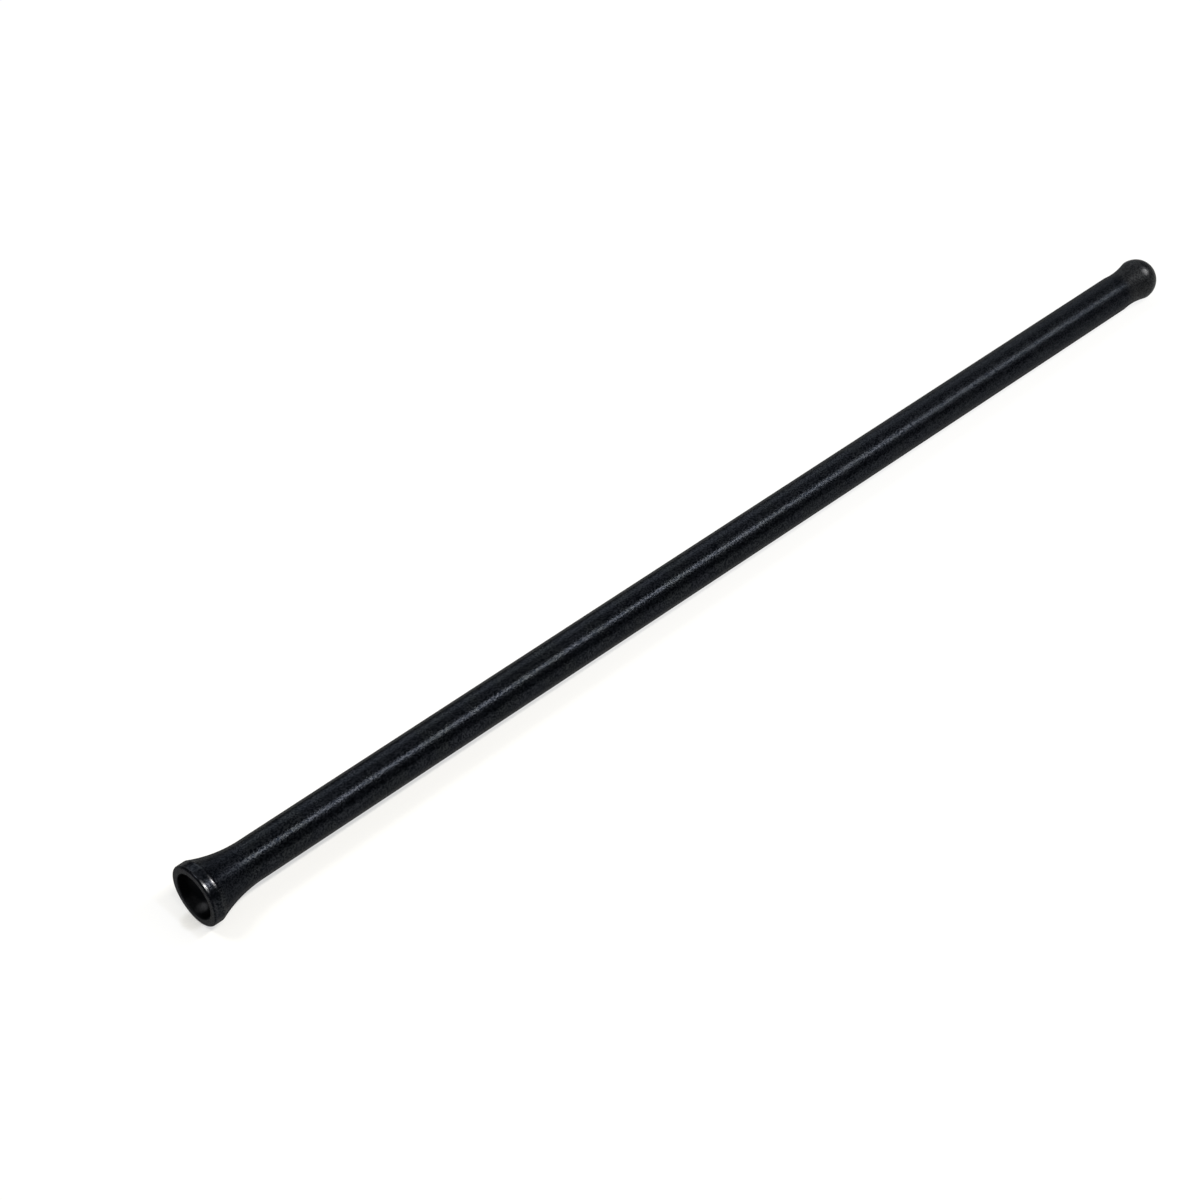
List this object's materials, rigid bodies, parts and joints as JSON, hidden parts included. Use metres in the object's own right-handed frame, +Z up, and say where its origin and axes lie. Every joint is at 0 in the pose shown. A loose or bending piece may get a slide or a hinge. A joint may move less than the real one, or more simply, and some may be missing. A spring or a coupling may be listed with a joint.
{
  "type": "engine pushrod",
  "caption": "Engine pushrod with a slim solid stem, a flared cup that seats the rocker's ball and a rounded foot that works in the tappet.",
  "frame": {"origin": "centre of the cup's ball seat, on the rod's axis", "axes": "+X along the rod from the cup to the foot, +Z up with the rod lying on its side"},
  "size_m": [0.264, 0.0122, 0.0122],
  "materials": {
    "black_steel": "satin"
  },
  "bodies": {
    "root": {"pushrod": "black_steel"}
  },
  "joints": []
}
